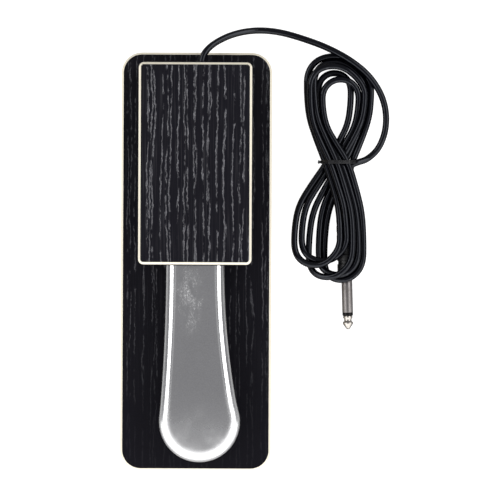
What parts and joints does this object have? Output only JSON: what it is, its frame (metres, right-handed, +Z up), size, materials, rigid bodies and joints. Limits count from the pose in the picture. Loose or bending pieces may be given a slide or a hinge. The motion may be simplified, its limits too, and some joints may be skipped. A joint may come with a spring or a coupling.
{
  "type": "sustain pedal",
  "caption": "Piano-style sustain pedal: a chromed lever hinged in a wooden housing on a long base, with its switch cable tied in a hank and ending in a jack plug.",
  "frame": {"origin": "middle of the footprint, on the surface that the rubber feet stand on", "axes": "+X to the player's right, +Y to the rear where the cable leaves, +Z up"},
  "size_m": [0.157, 0.2596, 0.05],
  "materials": {
    "raw_board": "sanded fibreboard edge",
    "black_laminate": "black laminate with pale open grain",
    "black_film": "black wood-grain film",
    "rubber": "matt",
    "felt": "pressed wool felt",
    "zinc_steel": "bright zinc plate",
    "chrome_sheet": "polished chrome plate on pressed steel",
    "spring_steel": "oiled spring wire",
    "pin_steel": "ground",
    "nylon": "natural nylon",
    "switch_plastic": "moulded",
    "plunger_plastic": "moulded",
    "brass": "tinned brass",
    "clip_plastic": "moulded nylon",
    "core_white": "extruded insulation",
    "core_red": "extruded insulation",
    "cord_jacket": "extruded PVC",
    "tie_plastic": "plastic-covered wire",
    "grip_plastic": "moulded PVC",
    "nickel": "nickel plate",
    "insulator_plastic": "turned"
  },
  "bodies": {
    "base": {"base_board": "raw_board", "base_laminate": "black_laminate", "rubber_feet": "rubber", "foot_screws": "zinc_steel", "front_wall": "raw_board", "rear_wall": "raw_board", "left_wall": "raw_board", "right_wall": "raw_board", "housing_top": "raw_board", "housing_top_laminate": "black_laminate", "housing_film": "black_film", "housing_screws": "zinc_steel", "pivot_bracket": "zinc_steel", "bracket_screws": "zinc_steel", "pivot_pin": "pin_steel", "pivot_clips": "spring_steel", "spring_seat": "nylon", "return_spring": "spring_steel", "down_stop_bumper": "rubber", "up_stop_felt": "felt", "switch_body": "switch_plastic", "switch_terminals": "brass", "switch_bracket": "zinc_steel", "switch_screws": "zinc_steel", "plate_screws": "zinc_steel", "cable_grommet": "rubber", "cable_stub": "cord_jacket", "cable_clip": "clip_plastic", "clip_screw": "zinc_steel", "signal_core": "core_red", "return_core": "core_white", "cord_lead": "cord_jacket", "cord_hank": "cord_jacket", "cord_tie": "tie_plastic", "plug_handle": "grip_plastic", "plug_sleeve": "nickel", "plug_insulator": "insulator_plastic", "plug_tip": "nickel"},
    "pedal": {"pedal_lever": "chrome_sheet", "pivot_bushes": "nylon"},
    "plunger": {"switch_plunger": "plunger_plastic"}
  },
  "joints": [
    {"name": "pedal_hinge", "type": "hinge", "parent": "base", "child": "pedal", "pos_m": [0, 0.072, 0.022], "axis": [1, 0, 0], "range_deg": [0, 3], "stiffness_Nm_per_rad": 21, "springref_deg": -3.55, "deforming": ["return_spring"]},
    {"name": "plunger_slide", "type": "slide", "parent": "base", "child": "plunger", "axis": [0, 0, -1], "range_m": [0, 0.0012]}
  ],
  "couplings": [
    {"joint": "plunger_slide", "follows": "pedal_hinge", "m_per_rad": 0.022}
  ]
}
